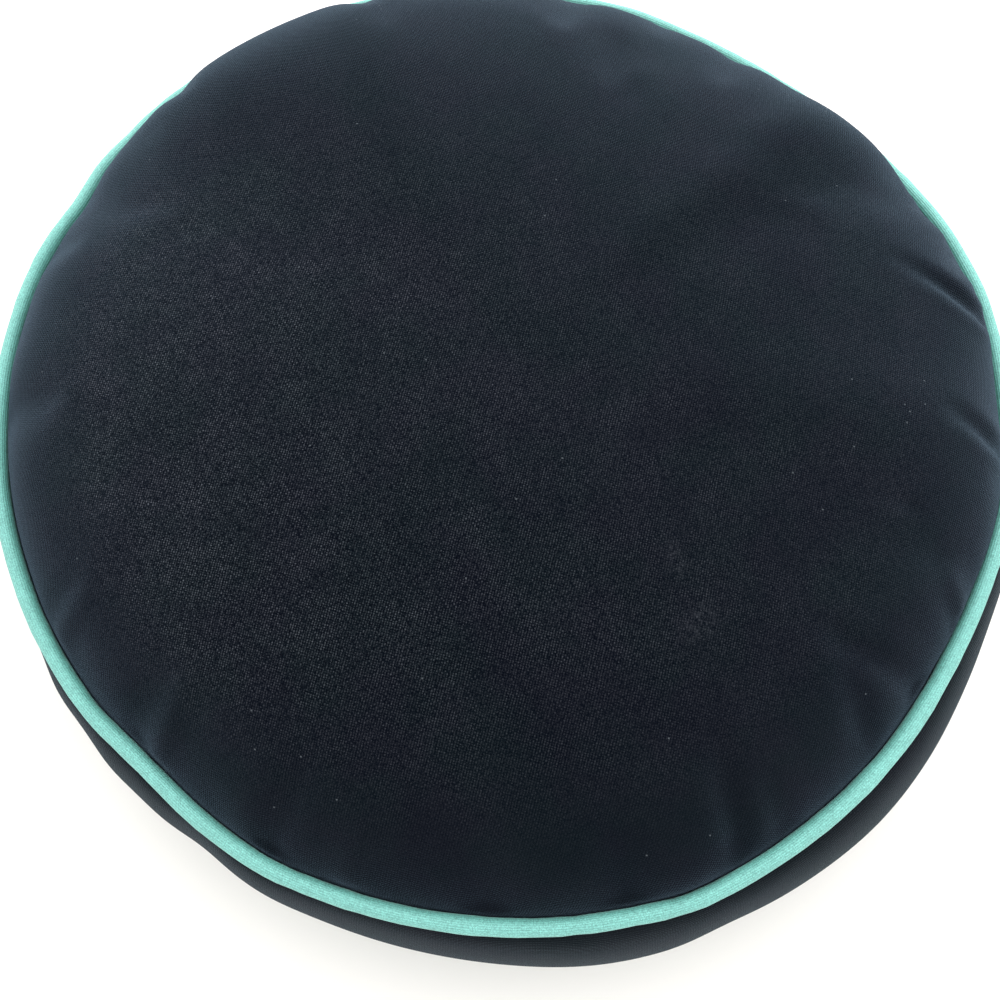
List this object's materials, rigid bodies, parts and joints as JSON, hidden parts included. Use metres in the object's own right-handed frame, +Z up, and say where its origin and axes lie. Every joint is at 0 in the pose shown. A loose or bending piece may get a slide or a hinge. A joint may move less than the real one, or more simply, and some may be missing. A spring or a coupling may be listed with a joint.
{
  "type": "round throw pillow",
  "caption": "Round box cushion in navy canvas, with crowned panels, a bulging side band and contrast piping in its seams, lying on its back.",
  "frame": {"origin": "on the floor, at the centre of the flat patch that the pillow rests on", "axes": "+Z up through the crown of the top panel, -Y towards the viewer of the picture, +X to the viewer's right"},
  "size_m": [0.4343, 0.4364, 0.123],
  "materials": {
    "navy_canvas": "matte plain-weave cotton canvas with a soft nap",
    "mint_cotton": "matte fine-weave cotton cut on the bias over cord"
  },
  "bodies": {
    "root": {"cushion_body": "navy_canvas", "piping_upper": "mint_cotton", "piping_lower": "mint_cotton"}
  },
  "joints": []
}
